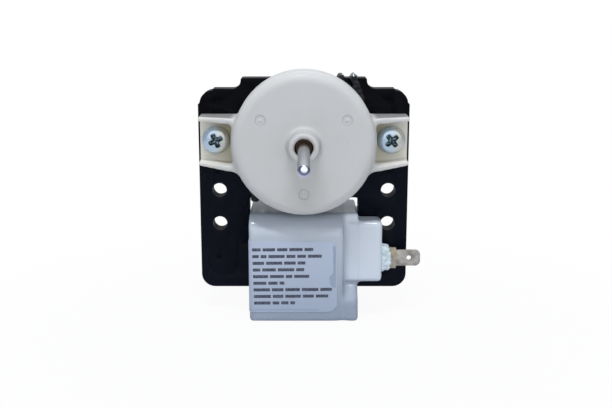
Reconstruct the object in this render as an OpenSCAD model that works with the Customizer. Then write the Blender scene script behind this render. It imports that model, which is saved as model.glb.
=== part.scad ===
// Shaded-pole fan motor with an open C-frame core, as used behind a refrigerator evaporator.
// The origin is on the shaft axis at the front face of the bearing hub. X is to the right,
// Y goes back into the motor, Z is up, and the output shaft points along -Y.

/* [Laminated core] */
// Thickness of one core sheet
sheet_t = 0.5; // [0.4:0.05:0.65]
// Number of sheets in the stack
sheet_count = 11; // [9:1:14]
// Width of the raised tab on top
tab_w = 36.2; // [34:0.2:38]
// Height of the tab's top edge above the shaft axis
tab_rise = 17.2; // [16.8:0.1:18.5]
// Height of the two shoulders above the shaft axis
shoulder_rise = 14.1; // [13:0.1:14.6]
// Distance of the rotor section's underside inside the front dome's edge
waist_in = 2.3; // [2:0.1:2.8]
// Distance of the coil bar's top edge below the coil cover's top
bar_in = 10.65; // [10:0.05:12]
// Distance from a screw's axis to the leg's outer edge
leg_edge = 5.5; // [5:0.1:7]
// Height of the coil bar
bar_h = 13.45; // [12.5:0.05:15]
// Width of the tongue that plugs into the coil bar
tongue_w = 8.5; // [7:0.1:9]
// Metal left under the tongue's socket
socket_floor = 3.5; // [2.5:0.1:4.5]
// Metal left between the tongue's socket and the end of the coil bar
socket_side = 2.4; // [2:0.1:3]
// Step down from the bar's inner edge to its outer horns
horn_step = 1.55; // [0.5:0.05:2.5]
// Radius of the tab's top corners
tab_corner_r = 0.5; // [0.2:0.1:0.8]
// Radius of the fillet beside the tab
tab_fillet_r = 2.5; // [1:0.1:2.6]
// Radius of the top outer corners
top_corner_r = 3.9; // [2:0.1:4.5]
// Small step at each end of a top outer corner
corner_step = 0.45; // [0.2:0.05:0.8]
// Radius of the bottom outer corners
bottom_corner_r = 4; // [2:0.1:5]
// Radius in the window's upper corners
window_corner_r = 0.8; // [0.4:0.1:1.5]
// Height of the upper interlock marks above the shaft axis
mark_rise = 10.2; // [9:0.1:11]
// Distance of the lower interlock marks below the shaft axis
mark_drop = 9.9; // [9:0.1:11]
// Height of the interlock mark in the tongue above its tip
tongue_mark_h = 5.9; // [4:0.1:7]
// Diameter of the round interlock marks
mark_d = 1.5; // [1:0.1:2]
// Depth of the round interlock marks
mark_depth = 0.25; // [0.1:0.05:0.4]

/* [Fixing holes] */
// Diameter of the four free holes in the legs
leg_hole_d = 4.2; // [3.8:0.1:4.8]
// Distance of the free holes inside the line of the screws
leg_hole_in = 0.25; // [0:0.05:0.6]
// Spacing between the two rows of free holes
hole_pitch_z = 10; // [9:0.25:11]
// Distance of the upper row of free holes below the shaft axis
hole_drop = 15.6; // [14.5:0.1:16.5]

/* [Shading rings] */
// Width of a ring's limb on the core's face
ring_w = 2.2; // [1.6:0.1:2.4]
// Thickness of a ring's limb
ring_t = 1.6; // [1.2:0.1:1.9]
// Thickness of a ring where it crosses the core's edge
ring_edge_t = 1; // [0.8:0.1:1.6]
// Space between the outer ring's lower end and the leg beside it
ring_leg_gap = 0.6; // [0.4:0.05:1]
// Spacing of the two rings where they cross the core's edge
ring_pitch = 3.6; // [3:0.1:3.9]
// Angle of the outer ring's slot above the horizontal
outer_slot_angle = 18; // [14:1:22]
// Angle of the inner ring's slot above the horizontal
inner_slot_angle = 46; // [42:1:52]

/* [Rotor and shaft] */
// Diameter of the rotor
rotor_d = 25.2; // [24:0.1:25.6]
// Radial gap between the rotor and the core
air_gap = 0.3; // [0.25:0.05:0.4]
// Number of bars in the rotor's cage
cage_bars = 17; // [13:1:19]
// Diameter of a cage bar
cage_bar_d = 1.6; // [1.2:0.1:1.8]
// Length of the cage's end rings along the shaft
end_ring_t = 2.4; // [1.8:0.1:3]
// Inner diameter of the cage's end rings
end_ring_id = 14; // [12:0.5:17]
// Diameter of the shaft
shaft_d = 3.175; // [3:0.005:3.3]
// Length of shaft that stands out of the hub
shaft_free = 32.8; // [26:0.1:42]
// Chamfer at the ends of the shaft
shaft_chamfer = 0.5; // [0.2:0.1:0.8]
// Depth of the oil-throw groove in the shaft
groove_depth = 0.28; // [0.15:0.01:0.35]
// Width of the oil-throw groove
groove_w = 0.8; // [0.6:0.1:1]

/* [Bearing brackets] */
// Diameter of the front bracket's round dome
dome_d = 40.2; // [39.4:0.1:41]
// Distance of the rear dome's edge inside the front dome's edge
rear_dome_in = 1.9; // [1.6:0.1:2.5]
// Distance from the hub's front face to the core
bracket_depth = 20.2; // [19.5:0.1:22]
// Length of the hub in front of the dome
hub_len = 5.6; // [5:0.1:6.2]
// Diameter of the hub at its front face
hub_d = 8.6; // [8.2:0.1:9]
// Diameter of the hub where it meets the dome
hub_base_d = 9.9; // [9.6:0.1:11]
// Diameter of the hub's hole
hub_hole_d = 5.2; // [5:0.1:5.5]
// Wall thickness of the dome
dome_wall = 2; // [1.6:0.1:2.2]
// Outer rounding round the dome's face
dome_round_r = 2.8; // [2.4:0.1:3.6]
// Clear height between the dome's skirt and the core
skirt_gap = 2.5; // [2.2:0.1:3.5]
// Thickness of the ear under a screw's head
ear_floor = 3.2; // [2.6:0.1:4]
// Distance of the ear's outer end inside the core's edge
ear_in = 0.8; // [0.4:0.1:1.4]
// Height of the ear's upper face above the shaft axis
ear_top = 7; // [6.2:0.1:7.6]
// Distance of the ear's lower face below the shaft axis, at the outer end
ear_bottom = 6.7; // [6.2:0.1:7.4]
// Slope of the ear's lower face
ear_slope = 0.145; // [0.05:0.005:0.2]
// Rounding in the inner corners of the ear's channel
ear_corner_r = 1.2; // [0.6:0.1:1.6]
// Wall thickness of the ear's rim at its outer end
ear_rim = 1.15; // [0.9:0.05:1.4]
// Height of the ear's rim above the core at its outer end
ear_rim_h = 8.3; // [7.2:0.1:9.5]
// Rise of the ear's rim from its outer end to the dome
ear_rim_rise = 3; // [2:0.1:3.6]
// Radius of the fillet over the ear's root
ear_top_fillet = 0.9; // [0.5:0.1:2]
// Radius of the fillet under the ear's root
ear_bottom_fillet = 4; // [2:0.1:4.5]
// Distance of the round ejector marks from the shaft axis
ejector_r = 13.75; // [11:0.25:15]
// Diameter of the round ejector marks
ejector_d = 2.8; // [2:0.1:3.4]

/* [Bearings and oil felts] */
// Diameter of the ball-shaped sleeve bearing
bearing_d = 7.5; // [7.2:0.05:7.6]
// Length of the sleeve bearing
bearing_len = 6; // [5.6:0.1:6.4]
// Distance from the hub's front face to the bearing
hub_lip = 2.2; // [2:0.05:2.5]
// Diameter of the pocket that holds the retainer and the felt
pocket_d = 15; // [14:0.1:15.6]
// Thickness of the oil felt
felt_t = 3; // [2:0.1:3.6]
// Thickness of the sheet used for the retainer and the felt cap
spring_t = 0.4; // [0.3:0.05:0.5]
// Number of fingers on the bearing retainer
retainer_fingers = 6; // [4:1:8]
// Outer diameter of the thrust washer
washer_d = 5.8; // [5.4:0.1:6]
// Thickness of the thrust washer
washer_t = 0.75; // [0.5:0.05:0.9]
// Outer diameter of the spacer sleeve
spacer_d = 5; // [4.6:0.1:5.4]

/* [Coil] */
// Width of the coil cover
cover_w = 31.4; // [30.4:0.1:31.6]
// Distance the coil cover stands in front of and behind the core
cover_proud = 12; // [11:0.1:13]
// Space between the coil cover and the legs beside it
cover_gap = 0.3; // [0.2:0.05:0.6]
// Space between the front dome and the coil cover's top
cover_head_gap = 0.9; // [0.5:0.1:1.5]
// Distance the coil cover reaches below the coil bar
cover_below = 6.9; // [5.4:0.1:8]
// Rounding along the cover's upper front and rear edges
cover_brow_r = 6; // [3:0.1:6.5]
// Rounding of the cover's upright edges
cover_edge_r = 1.4; // [0.8:0.1:2]
// Rounding round the cover's base
cover_base_r = 1; // [0.5:0.1:1.6]
// Wall thickness of the coil cover
cover_wall = 1.5; // [1.2:0.05:1.8]
// Wall thickness of the bobbin's tube
bobbin_wall = 1; // [0.7:0.05:1.3]
// Thickness of the bobbin's end flanges
flange_t = 1.2; // [0.8:0.1:1.6]
// Space between the winding and the edge of the flanges
winding_inset = 0.8; // [0.4:0.1:1.5]

/* [Terminals] */
// Distance of the front terminal box's outer end beyond the cover's side
front_box_out = 7; // [5.8:0.1:7.8]
// Distance of the rear terminal box's outer end beyond the cover's side
rear_box_out = 3.3; // [2.5:0.1:4.8]
// Distance of the terminal boxes' tops below the coil cover's top
box_top_in = 2.2; // [1.4:0.1:3.5]
// Height of the terminal boxes
box_h = 18.3; // [16.5:0.1:19]
// Depth of the terminal boxes along the shaft
box_depth = 7.5; // [7:0.1:8]
// Space between the terminal boxes and the core
box_gap = 0.5; // [0.3:0.05:0.8]
// Distance the terminal boxes stand in front of the cover's stepped corner
box_proud = 0.9; // [0.4:0.1:1.4]
// Rounding of the terminal boxes' edges
box_edge_r = 1.5; // [0.8:0.1:1.8]
// Width of the step between the raised face and the box
step_w = 4.4; // [3:0.1:5]
// Height of the ramp under the step
ramp_h = 4.3; // [2:0.1:5]
// Height of the tab's blade
blade_h = 4.8; // [4:0.1:5]
// Height of the tab's shoulder
shoulder_h = 6.3; // [5.6:0.1:6.6]
// Thickness of the tab
blade_t = 0.8; // [0.5:0.1:0.9]
// Length of the tab outside its box
blade_out = 11.4; // [10:0.1:13]
// Length of the shoulder outside its box
shoulder_out = 4.3; // [3.6:0.1:5]
// Diameter of the hole in the tab
blade_hole_d = 1.4; // [1.2:0.1:1.8]
// Distance of the hole from the tab's tip
blade_hole_in = 3.3; // [2.6:0.1:4]
// Distance of the tabs' middle line below the boxes' tops
blade_in = 11.7; // [10.6:0.1:12.4]
// Length of sealing compound outside the box
seal_out = 2.9; // [2:0.1:3.4]
// Height of the sealing compound
seal_h = 9.4; // [8:0.1:10.4]
// Depth of the sealing compound along the shaft
seal_depth = 4.4; // [3.6:0.1:5]
// Depth of the compound's pocket in the box
seal_in = 3; // [2:0.1:3.5]

/* [Label] */
// Distance of the label's right edge from the step beside the terminal box
label_step_gap = 1.7; // [1:0.1:3]
// Distance of the label's top below the coil cover's top
label_top_in = 6.9; // [6:0.1:8]
// Height of the label
label_h = 21.1; // [18:0.1:22]
// Corner radius of the label
label_r = 3; // [1:0.1:4]
// Thickness of the label
label_t = 0.12; // [0.08:0.01:0.2]
// Length of label folded round the cover's left side
label_wrap = 3.2; // [2:0.1:5]

/* [Fasteners] */
// Diameter of the screws' shanks
screw_d = 3.9; // [3.7:0.05:4.1]
// Diameter of the screws' pan heads
head_d = 8; // [7.4:0.1:8.4]
// Space between the front dome and the screws' heads
screw_gap = 0.9; // [0.6:0.1:2]
// Height of the screws' pan heads
head_h = 3.1; // [2.6:0.1:3.3]
// Length of the screws under the head
screw_len = 16; // [14.5:0.5:17]
// Turn of the left screw's cross recess
left_recess_turn = 28; // [0:1:45]
// Turn of the right screw's cross recess
right_recess_turn = 34; // [0:1:45]
// Width of the nuts across their flats
nut_flats = 7; // [6.8:0.1:7.6]
// Thickness of the nuts
nut_t = 3.2; // [2.4:0.1:3.4]

/* [Fits] */
// Clearance all round where the legs plug into the coil bar
joint_fit = 0.04; // [0.02:0.01:0.08]
// Radial clearance of the shaft in its bearings
shaft_fit = 0.03; // [0.02:0.01:0.06]
// Clearance between parts that are pressed or cast together
close_fit = 0.02; // [0.01:0.01:0.04]
// Clearance between moulded parts
mould_fit = 0.1; // [0.05:0.05:0.15]
// Radial clearance round the screws
screw_fit = 0.2; // [0.1:0.05:0.25]
// End play of the rotor at each bearing
end_play = 0.15; // [0.1:0.05:0.25]
// Radial space between turning sleeves and the parts round them
sleeve_gap = 0.4; // [0.3:0.05:0.5]

/* [Hidden] */
$fn = 96;
// Extra length that lets a cut run past the face it starts from
over = 0.5;

// Places along the shaft, measured back from the hub's front face
core_t = sheet_t * sheet_count;
core_y = bracket_depth;
core_back_y = core_y + core_t;
mid_y = core_y + core_t / 2;
dome_face_y = hub_len;
dome_inner_y = dome_face_y + dome_wall;
skirt_y = core_y - skirt_gap;
ear_face_y = core_y - ear_floor;
bearing_y = hub_lip + bearing_len / 2;
bearing_end_y = hub_lip + bearing_len;
washer_y = bearing_end_y + end_play;
retainer_y = dome_inner_y;
felt_y = retainer_y + spring_t + mould_fit;
cap_y = felt_y + felt_t + mould_fit;
cap_rim = 0.6;
boss_end_y = cap_y + spring_t + 2 * cap_rim;
cover_front_y = core_y - cover_proud;
box_front_y = core_y - box_gap - box_depth;
blade_y = core_y - box_gap - box_depth / 2;

// Places across the motor
front_dome_r = dome_d / 2;
rear_dome_r = front_dome_r - rear_dome_in;
hole_x = front_dome_r + screw_gap + head_d / 2;
leg_hole_x = hole_x - leg_hole_in;
half_w = hole_x + leg_edge;
ear_reach = half_w - ear_in;
cover_x = cover_w / 2;
window_x = cover_x + cover_gap;
step_x = cover_x - step_w;
room_x = cover_x - cover_wall;
coil_right_x = step_x - cover_wall;
front_box_reach = cover_x + front_box_out;
rear_box_reach = cover_x + rear_box_out;
label_right = step_x - label_step_gap;
outer_ring_x = window_x - ring_leg_gap - ring_w / 2;
inner_ring_x = outer_ring_x - ring_pitch;
tongue_x = half_w - socket_side - tongue_w / 2;

// Places up and down
waist_drop = front_dome_r - waist_in;
cover_z = -front_dome_r - cover_head_gap;
bar_drop = bar_in - cover_z;
base_z = -bar_drop - bar_h;
cover_base_z = base_z - cover_below;
tongue_tip_z = base_z + socket_floor;
box_z = cover_z - box_top_in;
box_base_z = box_z - box_h;
blade_z = box_z - blade_in;
label_z = cover_z - label_top_in;

// Sizes of round parts
bore_r = rotor_d / 2 + air_gap;
pocket_r = pocket_d / 2;
boss_r = pocket_r + 1.6;
seat_r = bearing_d / 2 + shaft_fit;
shaft_r = shaft_d / 2;
sleeve_r = washer_d / 2 + sleeve_gap;
ring_reach = 1.5;
ring_bar_r = 0.95;
room_corner_r = 4;

// Shape helpers

// Extrudes an outline drawn in X and Z from y0 back to y1
module slab(y0, y1) {
    translate([0, y1, 0]) rotate([90, 0, 0]) linear_extrude(y1 - y0) children();
}

// Extrudes an outline drawn in Y and Z from x0 to x1
module beam(x0, x1) {
    translate([x0, 0, 0]) rotate([90, 0, 90]) linear_extrude(x1 - x0) children();
}

// Extrudes an outline drawn in X and Y from z0 up to z1
module post(z0, z1) {
    translate([0, 0, z0]) linear_extrude(z1 - z0) children();
}

// Revolves a profile of radius and Y about the shaft axis
module turned() {
    rotate([-90, 0, 0]) rotate_extrude() children();
}

// A round bar or hole along Y
module along_y(x, z, r, y0, y1) {
    slab(y0, y1) translate([x, z]) circle(r);
}

// A rectangle given by its corners, with one radius for each corner, from lower left round
// to upper left
module plate(low, high, radii) {
    corners = [low, [high.x, low.y], high, [low.x, high.y]];
    inward = [[1, 1], [-1, 1], [-1, -1], [1, -1]];
    difference() {
        translate(low) square(high - low);
        for (i = [0:3])
            if (radii[i] > 0)
                corner_waste(corners[i], inward[i], radii[i]);
    }
}

// What a rounded corner at p loses, with the material lying towards the signs in s
module corner_waste(p, s, r) {
    translate(p) difference() {
        translate([s.x > 0 ? -over : -r, s.y > 0 ? -over : -r]) square(r + over);
        translate([s.x * r, s.y * r]) circle(r);
    }
}

// Everything made for the front end, turned round to face the back
module at_rear() {
    translate([0, 2 * mid_y, 0]) mirror([0, 1, 0]) children();
}

// The same outline on the left and on the right
module both_sides() {
    children();
    mirror([1, 0]) children();
}

// Points on an arc about c
function arc(c, r, from, to, steps = 16) =
    [for (i = [0:steps]) let (a = from + (to - from) * i / steps) c + r * [cos(a), sin(a)]];

// Laminated core

// The right half of the outline, from the tab's top down round the leg and its tongue to the
// window's upper edge
function core_edge() =
    let (tab_x = tab_w / 2,
         corner = [half_w, shoulder_rise] - (corner_step + top_corner_r) * [1, 1],
         tongue_r = tongue_w / 2,
         tip = [tongue_x, tongue_tip_z + tongue_r],
         window = [window_x, -waist_drop] - window_corner_r * [1, 1])
    concat(
        arc([tab_x - tab_corner_r, tab_rise - tab_corner_r], tab_corner_r, 90, 0, 4),
        arc([tab_x + tab_fillet_r, shoulder_rise + tab_fillet_r], tab_fillet_r, 180, 270),
        [[corner.x, shoulder_rise]],
        arc(corner, top_corner_r, 90, 0),
        [[half_w, corner.y], [half_w, -bar_drop - horn_step],
         [tongue_x + tongue_r, -bar_drop - horn_step]],
        arc(tip, tongue_r, 0, -180),
        [[tongue_x - tongue_r, -bar_drop], [window_x, -bar_drop]],
        arc(window, window_corner_r, 0, 90, 4)
    );

module core_outline() {
    right = core_edge();
    polygon(concat(right, [for (i = [len(right) - 1:-1:0]) [-right[i].x, right[i].y]]));
}

// Where the legs plug in, with the fit all round
module socket_outline() {
    r = tongue_w / 2 + joint_fit;
    centre_z = tongue_tip_z + tongue_w / 2;
    translate([tongue_x - r, centre_z]) square([2 * r, -bar_drop - centre_z + over]);
    translate([tongue_x, centre_z]) circle(r);
    translate([tongue_x, -bar_drop - horn_step - joint_fit])
        square([half_w - tongue_x + over, horn_step + joint_fit + over]);
}

// The ring's slot: a round hole that opens to the bore through a slit
module ring_slot(angle) {
    slit_w = 0.8;
    r = bore_r + ring_reach;
    rotate(angle) {
        translate([r, 0]) circle(ring_bar_r + close_fit);
        translate([bore_r - over, -slit_w / 2]) square([r - bore_r + over, slit_w]);
    }
}

// Slits above and below the rotor that thin the core between its two poles
module neck_slit() {
    slit_w = 1.4;
    neck_t = 1.8;
    translate([-slit_w / 2, 0]) square([slit_w, tab_rise - neck_t]);
    translate([-slit_w / 2, neck_t - waist_drop]) square([slit_w, waist_drop - neck_t]);
}

module stator_core() {
    mark_heights = [mark_rise, -mark_drop, tongue_tip_z + tongue_mark_h];
    color("#171a24") difference() {
        slab(core_y, core_back_y) difference() {
            core_outline();
            both_sides() {
                translate([hole_x, 0]) circle(screw_d / 2 + screw_fit);
                for (row = [0, 1])
                    translate([leg_hole_x, -hole_drop - row * hole_pitch_z]) circle(leg_hole_d / 2);
            }
            circle(bore_r);
            neck_slit();
            for (angle = [outer_slot_angle, inner_slot_angle])
                for (turn = [0, 180]) ring_slot(angle + turn);
        }
        for (side = [-1, 1])
            for (z = mark_heights)
                along_y(side * hole_x, z, mark_d / 2, core_y - over, core_y + mark_depth);
    }
}

module coil_bar() {
    color("#1b1e29") slab(core_y, core_back_y) difference() {
        plate([-half_w, base_z], [half_w, -bar_drop - joint_fit],
              [bottom_corner_r, bottom_corner_r, 0, 0]);
        both_sides() socket_outline();
    }
}

// Shading rings

function left_of(run) = [-run.y, run.x] / norm(run);

// Corner of a band of even width at point i: both runs' sides meet there
function side_point(points, i, width) =
    let (last = len(points) - 1,
         before = max(i, 1),
         after = min(i, last - 1),
         a = left_of(points[before] - points[before - 1]),
         b = left_of(points[after + 1] - points[after]))
    points[i] + width / 2 * (a + b) / (1 + a * b);

// A limb of even width along a line of points, round at its far end
module limb_outline(points, width) {
    last = len(points) - 1;
    polygon(concat(
        [for (i = [0:last]) side_point(points, i, width)],
        [for (i = [last:-1:0]) side_point(points, i, -width)]
    ));
    translate(points[last]) circle(width / 2);
}

function slot_place(angle) = (bore_r + ring_reach) * [cos(angle), sin(angle)];

// The way a limb takes over the core's face, from the core's edge to its slot
function outer_limb(edge) = [[outer_ring_x, edge], [outer_ring_x, tab_rise - ring_w / 5],
    [outer_ring_x + ring_w, tab_rise - 6], slot_place(outer_slot_angle)];
function inner_limb(edge) = [[inner_ring_x, edge], [inner_ring_x, tab_rise - ring_w / 2],
    slot_place(inner_slot_angle)];

// A closed ring round the shaded part of a pole: two limbs, a bar over the core's edge and a
// bar through the slot
module shading_ring(limb, angle, edge) {
    front = core_y - ring_t;
    back = core_back_y + ring_t;
    color("#24262c") {
        slab(front, core_y) limb_outline(limb, ring_w);
        slab(core_back_y, back) limb_outline(limb, ring_w);
        slab(front, back) translate([limb[0].x - ring_w / 2, edge]) square([ring_w, ring_edge_t]);
        slab(front, back) translate(slot_place(angle)) circle(ring_bar_r);
    }
}

module shading_ring_upper_outer() {
    shading_ring(outer_limb(tab_rise), outer_slot_angle, tab_rise);
}

module shading_ring_upper_inner() {
    shading_ring(inner_limb(tab_rise), inner_slot_angle, tab_rise);
}

module shading_ring_lower_outer() {
    rotate([0, 180, 0]) shading_ring(outer_limb(waist_drop), outer_slot_angle, waist_drop);
}

module shading_ring_lower_inner() {
    rotate([0, 180, 0]) shading_ring(inner_limb(waist_drop), inner_slot_angle, waist_drop);
}

// Room in a moulding for the limbs and bars that stand proud of the core
module ring_relief(clear) {
    width = ring_w + 2 * clear;
    slab(core_y - ring_t - clear, core_y + over)
        for (turn = [0, 180]) rotate(turn) {
            limb_outline(outer_limb(tab_rise + ring_t), width);
            limb_outline(inner_limb(tab_rise + ring_t), width);
        }
}

// Coil

// Outline of the bar's section in Y and Z, grown by a clearance
module bar_section(grow) {
    translate([core_y - grow, base_z - grow]) square([core_t + 2 * grow, bar_h + 2 * grow]);
}

// Outline of the coil cover's inside in Y and Z, made smaller by an inset
module coil_section(inset, r) {
    edge = cover_wall + inset;
    plate([cover_front_y + edge, cover_base_z + edge],
          [2 * mid_y - cover_front_y - edge, cover_z - edge], [r, r, r, r]);
}

// The tube runs the cover's whole width. The winding stops short of the end block on the
// right, where the tabs are held.
module bobbin() {
    left_x = mould_fit - room_x;
    right_x = coil_right_x - mould_fit;
    color("#e8e6dc") difference() {
        union() {
            beam(left_x, -left_x) bar_section(mould_fit + bobbin_wall);
            beam(left_x, left_x + flange_t) coil_section(mould_fit, room_corner_r);
            beam(right_x - flange_t, right_x) coil_section(mould_fit, room_corner_r);
        }
        beam(-cover_x, cover_x) bar_section(mould_fit);
    }
}

module winding() {
    end_gap = flange_t + 2 * mould_fit;
    color("#a9541f") beam(end_gap - room_x, coil_right_x - end_gap) difference() {
        coil_section(mould_fit + winding_inset, room_corner_r);
        bar_section(2 * mould_fit + bobbin_wall);
    }
}

// The cover's outside: a block whose front, side and plan outlines are all rounded
module cover_block() {
    back_y = 2 * mid_y - cover_front_y;
    intersection() {
        slab(cover_front_y, back_y)
            plate([-cover_x, cover_base_z], [cover_x, cover_z],
                  [cover_base_r, cover_base_r, 0.6, 0.6]);
        beam(-cover_x, cover_x)
            plate([cover_front_y, cover_base_z], [back_y, cover_z],
                  [cover_base_r, cover_base_r, cover_brow_r, cover_brow_r]);
        post(cover_base_z, cover_z)
            plate([-cover_x, cover_front_y], [cover_x, back_y],
                  [cover_edge_r, cover_edge_r, cover_edge_r, cover_edge_r]);
    }
}

// What the cover's corner loses beside the terminal box, down to a ramp
module corner_step_cut() {
    face_y = box_front_y + box_proud;
    beam(step_x, cover_x + over) polygon([
        [cover_front_y - over, cover_z + over],
        [face_y, cover_z + over],
        [face_y, box_base_z - 0.4],
        [cover_front_y, box_base_z - ramp_h],
        [cover_front_y - over, box_base_z - ramp_h]
    ]);
}

module terminal_box(reach) {
    back_y = core_y - box_gap;
    r = box_edge_r;
    root_x = step_x + 0.2;
    intersection() {
        slab(box_front_y, back_y) plate([root_x, box_base_z], [reach, box_z], [r, r, r, r]);
        beam(root_x, reach) plate([box_front_y, box_base_z], [back_y, box_z], [r, 0, 0.4, r]);
        post(box_base_z, box_z) plate([root_x, box_front_y], [reach, back_y], [r, r, 0.4, 0]);
    }
}

// Room in the terminal box for the tab and the compound round it
module terminal_room(reach) {
    beam(reach - seal_in, reach + over) seal_section(0);
    blade_solid(reach, close_fit);
}

module coil_cover() {
    color("#c3ccd6") difference() {
        union() {
            difference() {
                cover_block();
                corner_step_cut();
                at_rear() corner_step_cut();
            }
            terminal_box(front_box_reach);
            at_rear() terminal_box(rear_box_reach);
        }
        beam(-room_x, coil_right_x) coil_section(0, room_corner_r);
        beam(-room_x, room_x) bar_section(2 * mould_fit + bobbin_wall);
        beam(-cover_x - over, cover_x + over) bar_section(mould_fit);
        terminal_room(front_box_reach);
        at_rear() terminal_room(rear_box_reach);
    }
}

// Terminals

// A tab with its shoulder and the root that is held in the cover
module blade_solid(reach, grow) {
    root_x = coil_right_x + cover_wall;
    tip_x = reach + blade_out;
    tip_r = 1.5;
    slab(blade_y - blade_t / 2 - grow, blade_y + blade_t / 2 + grow) {
        translate([root_x - grow, blade_z - shoulder_h / 2 - grow])
            square([reach + shoulder_out - root_x + grow, shoulder_h + 2 * grow]);
        plate([reach, blade_z - blade_h / 2 - grow], [tip_x, blade_z + blade_h / 2 + grow],
              [0, tip_r, tip_r, 0]);
    }
}

module terminal(reach) {
    color("#a7a199") difference() {
        blade_solid(reach, 0);
        along_y(reach + blade_out - blade_hole_in, blade_z, blade_hole_d / 2,
                blade_y - blade_t, blade_y + blade_t);
    }
}

module terminal_front() {
    terminal(front_box_reach);
}

module terminal_rear() {
    at_rear() terminal(rear_box_reach);
}

// Outline of the compound in Y and Z at the mouth of its pocket
module seal_section(inset) {
    r = 1.2;
    plate([blade_y - seal_depth / 2 + inset, blade_z - seal_h / 2 + inset],
          [blade_y + seal_depth / 2 - inset, blade_z + seal_h / 2 - inset], [r, r, r, r]);
}

// Compound that was poured round the tab: a plug in the pocket and a lumpy heap outside it
module terminal_seal(reach) {
    heap_h = seal_h / 2;
    lumps = 5;
    color("#c4dde6") difference() {
        union() {
            beam(reach - seal_in + close_fit, reach + close_fit) seal_section(close_fit);
            intersection() {
                beam(reach, reach + seal_out) seal_section(close_fit);
                slab(core_y - box_depth, core_y) union() {
                    translate([reach, blade_z]) circle(seal_out * 0.8);
                    for (i = [0:lumps - 1]) {
                        lift = (2 * i / (lumps - 1) - 1) * (heap_h - 1.1);
                        reach_out = seal_out - 1.3 - 0.9 * pow(abs(lift) / heap_h, 2);
                        translate([reach + reach_out, blade_z + lift]) circle(1.3);
                        translate([reach - 0.1, blade_z + lift - 1.1]) square([reach_out + 0.1, 2.2]);
                    }
                }
            }
        }
        blade_solid(reach, close_fit);
    }
}

module terminal_seal_front() {
    terminal_seal(front_box_reach);
}

module terminal_seal_rear() {
    at_rear() terminal_seal(rear_box_reach);
}

// A blank sheet that lies on the cover's front face and folds round its left edge
module rating_label() {
    outer_r = cover_edge_r + label_t;
    low_z = label_z - label_h;
    color("#a4b0ca") intersection() {
        post(low_z, label_z) difference() {
            plate([-cover_x - label_t, cover_front_y - label_t],
                  [label_right, cover_front_y + label_wrap], [outer_r, 0, 0, 0]);
            plate([-cover_x, cover_front_y], [cover_x, mid_y], [cover_edge_r, 0, 0, 0]);
        }
        slab(cover_front_y - over, mid_y)
            plate([-cover_x - over, low_z], [label_right, label_z],
                  [0, label_r, label_r, 0]);
    }
}

// Bearing brackets

// Profile of the dome and the hub's outside, in radius and Y
module dome_profile(dome_r) {
    hub_r = hub_d / 2;
    hub_base_r = hub_base_d / 2;
    edge = 0.35;
    polygon(concat(
        [[0, 0], [hub_r - edge, 0], [hub_r, edge], [hub_base_r - 0.3, dome_face_y - 0.7],
         [hub_base_r, dome_face_y]],
        arc([dome_r - dome_round_r, dome_face_y + dome_round_r], dome_round_r, -90, 0, 24),
        [[dome_r, skirt_y], [0, skirt_y]]
    ));
}

// Profile of the hollow inside the dome
module dome_room_profile(dome_r) {
    inner_r = dome_r - dome_wall;
    round_r = dome_round_r - dome_wall;
    difference() {
        polygon(concat(
            [[0, dome_inner_y]],
            arc([dome_r - dome_round_r, dome_inner_y + round_r], round_r, -90, 0, 12),
            [[inner_r, core_y + over], [0, core_y + over]]
        ));
        square([boss_r, boss_end_y]);
    }
}

// Place of a fillet of radius r between the dome and a line through p with slope m that lies
// below it: its centre, worked out from both distances
function root_centre(p, m, r, dome_r) =
    let (drop = p.y - r * sqrt(1 + m * m) - m * p.x,
         a = 1 + m * m,
         b = 2 * m * drop,
         c = drop * drop - (dome_r + r) * (dome_r + r),
         x = (-b + sqrt(b * b - 4 * a * c)) / (2 * a))
    [x, drop + m * x];

// The way from p along a line of slope m, then round a fillet below it to the dome
function line_to_dome(p, m, r, dome_r) =
    let (c = root_centre(p, m, r, dome_r),
         line_turn = 90 + atan(m),
         dome_turn = atan2(-c.y, -c.x))
    concat([p], arc(c, r, line_turn, dome_turn < 0 ? dome_turn + 360 : dome_turn, 10));

function middle(points) = [for (i = [1:len(points) - 2]) points[i]];

function flipped(points) = [for (i = [len(points) - 1:-1:0]) [points[i].x, -points[i].y]];

module ear_outline(dome_r) {
    lower = line_to_dome([ear_reach, -ear_bottom], ear_slope, ear_bottom_fillet, dome_r);
    upper = line_to_dome([ear_reach, -ear_top], 0, ear_top_fillet, dome_r);
    inner_x = dome_r - 3 * dome_wall;
    polygon(concat(lower, [[inner_x, -ear_bottom], [inner_x, ear_top]], flipped(upper)));
}

// The channel in the ear, open at its outer end and curved along the dome. The rim beside it
// is thicker at the dome.
module ear_channel_outline(dome_r) {
    near_r = dome_r + 0.4;
    taper = 0.4 * ear_rim / (ear_reach - dome_r);
    end_x = ear_reach + over;
    upper = line_to_dome([end_x, ear_top - ear_rim], taper, ear_corner_r, near_r);
    lower = line_to_dome([end_x, ear_bottom - ear_rim], taper - ear_slope, ear_corner_r, near_r);
    top_end = upper[len(upper) - 1];
    low_end = lower[len(lower) - 1];
    polygon(concat(
        upper,
        middle(arc([0, 0], near_r, atan2(top_end.y, top_end.x), -atan2(low_end.y, low_end.x), 12)),
        flipped(lower)
    ));
}

// Side view of an ear: its rim rises from the outer end to the dome
module ear_side_outline(dome_r) {
    rim_y = core_y - ear_rim_h;
    inner_x = dome_r - 3 * dome_wall;
    polygon([
        [inner_x, core_y], [ear_reach, core_y], [ear_reach, rim_y],
        [dome_r, rim_y - ear_rim_rise], [inner_x, rim_y - ear_rim_rise]
    ]);
}

module ear(dome_r) {
    difference() {
        intersection() {
            slab(dome_face_y, core_y) ear_outline(dome_r);
            post(-dome_r, dome_r) ear_side_outline(dome_r);
        }
        slab(dome_face_y - over, ear_face_y) ear_channel_outline(dome_r);
        along_y(hole_x, 0, screw_d / 2 + screw_fit, dome_face_y, core_y + over);
    }
}

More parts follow.
